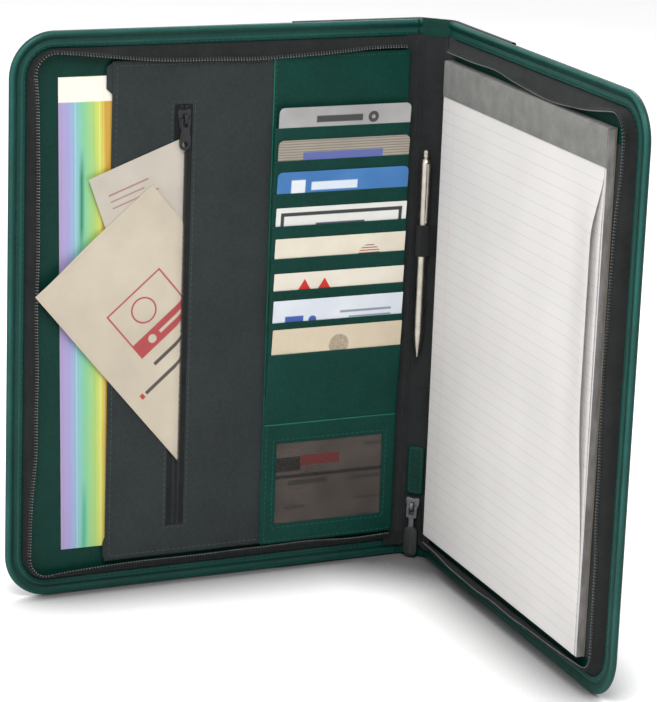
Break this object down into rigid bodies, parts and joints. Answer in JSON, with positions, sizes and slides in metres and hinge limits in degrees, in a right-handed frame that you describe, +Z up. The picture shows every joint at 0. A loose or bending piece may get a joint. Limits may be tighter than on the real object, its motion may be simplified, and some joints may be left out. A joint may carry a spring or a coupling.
{
  "type": "zippered padfolio",
  "caption": "Zippered padfolio standing open, with card slots, a zip pocket, an identity card window, papers, a pen in its loop and a writing pad.",
  "frame": {"origin": "foot of the spine, in the middle of its width, on the surface that the padfolio stands on", "axes": "+Z up along the spine, -Y out of the open inside, -X towards the front cover and +X towards the back cover, which lie at the same angle to the spine"},
  "size_m": [0.3748, 0.1928, 0.336],
  "materials": {
    "green_leatherette": "fine-grained bonded leather, satin",
    "black_leatherette": "fine-grained bonded leather, satin",
    "charcoal_leatherette": "smooth pocket leatherette, dull",
    "black_cloth": "woven lining",
    "elastic": "ribbed elastic",
    "zipper_tape": "woven tape",
    "zipper_teeth": "nylon coil with a dull glint",
    "board": "grey board",
    "pen_silver": "polished, with fine lines",
    "grey_metal": "cast zinc, satin",
    "dark_metal": "black enamel",
    "black_rubber": "ribbed",
    "brochure_print": "coated print in vertical colour fields",
    "grey_paper": "laid paper",
    "cream_paper": "uncoated paper",
    "white_paper": "ruled writing paper",
    "card_grey": "embossable card plastic",
    "card_beige": "printed card plastic",
    "card_blue": "printed card plastic",
    "card_white": "card stock",
    "card_cream": "card stock",
    "window_film": "soft clear vinyl",
    "pad_cardboard": "grey chipboard",
    "pad_header": "grey binding tape"
  },
  "bodies": {
    "spine": {"spine_wrap_panel": "black_leatherette", "spine_board": "board", "spine_lining": "black_cloth", "pen_loop": "elastic", "pen_lower_barrel": "pen_silver", "pen_upper_barrel": "pen_silver", "pen_finial": "pen_silver", "pen_clip": "pen_silver", "zipper_end_tab": "green_leatherette", "front_tape_tail": "zipper_tape", "back_tape_tail": "zipper_tape", "main_slider": "grey_metal"},
    "main_pull": {"main_pull_link": "grey_metal", "main_pull_grip": "black_rubber"},
    "front_cover": {"front_outer_skin": "green_leatherette", "front_wrap_panel": "black_leatherette", "front_board": "board", "front_lining": "green_leatherette", "front_zipper_tape": "zipper_tape", "front_zipper_coil": "zipper_teeth", "brochure": "brochure_print", "letter": "grey_paper", "envelope": "cream_paper", "zip_pocket_back": "charcoal_leatherette", "zip_pocket_front": "charcoal_leatherette", "pocket_zip_outer_tape": "zipper_tape", "pocket_zip_inner_tape": "zipper_tape", "card_base_panel": "green_leatherette", "card_1": "card_grey", "card_2": "card_beige", "card_3": "card_blue", "card_4": "card_white", "card_5": "card_cream", "card_6": "card_white", "card_7": "card_white", "card_8": "card_cream", "card_slot_strip_1": "green_leatherette", "card_slot_strip_2": "green_leatherette", "card_slot_strip_3": "green_leatherette", "card_slot_strip_4": "green_leatherette", "card_slot_strip_5": "green_leatherette", "card_slot_strip_6": "green_leatherette", "card_slot_strip_7": "green_leatherette", "card_slot_strip_8": "green_leatherette", "id_pocket_frame": "green_leatherette", "id_window_film": "window_film", "id_card": "card_grey"},
    "pocket_slider": {"pocket_slider": "dark_metal"},
    "pocket_pull": {"pocket_pull": "dark_metal"},
    "back_cover": {"back_outer_skin": "green_leatherette", "back_wrap_panel": "black_leatherette", "back_board": "board", "back_lining": "green_leatherette", "back_zipper_tape": "zipper_tape", "back_zipper_coil": "zipper_teeth", "pad_sleeve": "charcoal_leatherette", "pad_backing_board": "pad_cardboard", "pad_sheets": "white_paper", "pad_header_binding": "pad_header"}
  },
  "joints": [
    {"name": "front_hinge", "type": "hinge", "parent": "spine", "child": "front_cover", "pos_m": [-0.0105, 0, 0], "axis": [0, 0, 1], "range_deg": [-47, 43]},
    {"name": "back_hinge", "type": "hinge", "parent": "spine", "child": "back_cover", "pos_m": [0.0105, 0, 0], "axis": [0, 0, -1], "range_deg": [-47, 43]},
    {"name": "pocket_zip_slide", "type": "slide", "parent": "front_cover", "child": "pocket_slider", "axis": [0, 0, 1], "range_m": [-0.0025, 0.0018]},
    {"name": "pocket_pull_hinge", "type": "hinge", "parent": "pocket_slider", "child": "pocket_pull", "pos_m": [-0.10896, -0.11739, 0.2825], "axis": [-0.682, -0.7314, 0], "range_deg": [0, 170]},
    {"name": "main_pull_hinge", "type": "hinge", "parent": "spine", "child": "main_pull", "pos_m": [0, -0.00545, 0.033], "axis": [-1, 0, 0], "range_deg": [0, 178]}
  ]
}
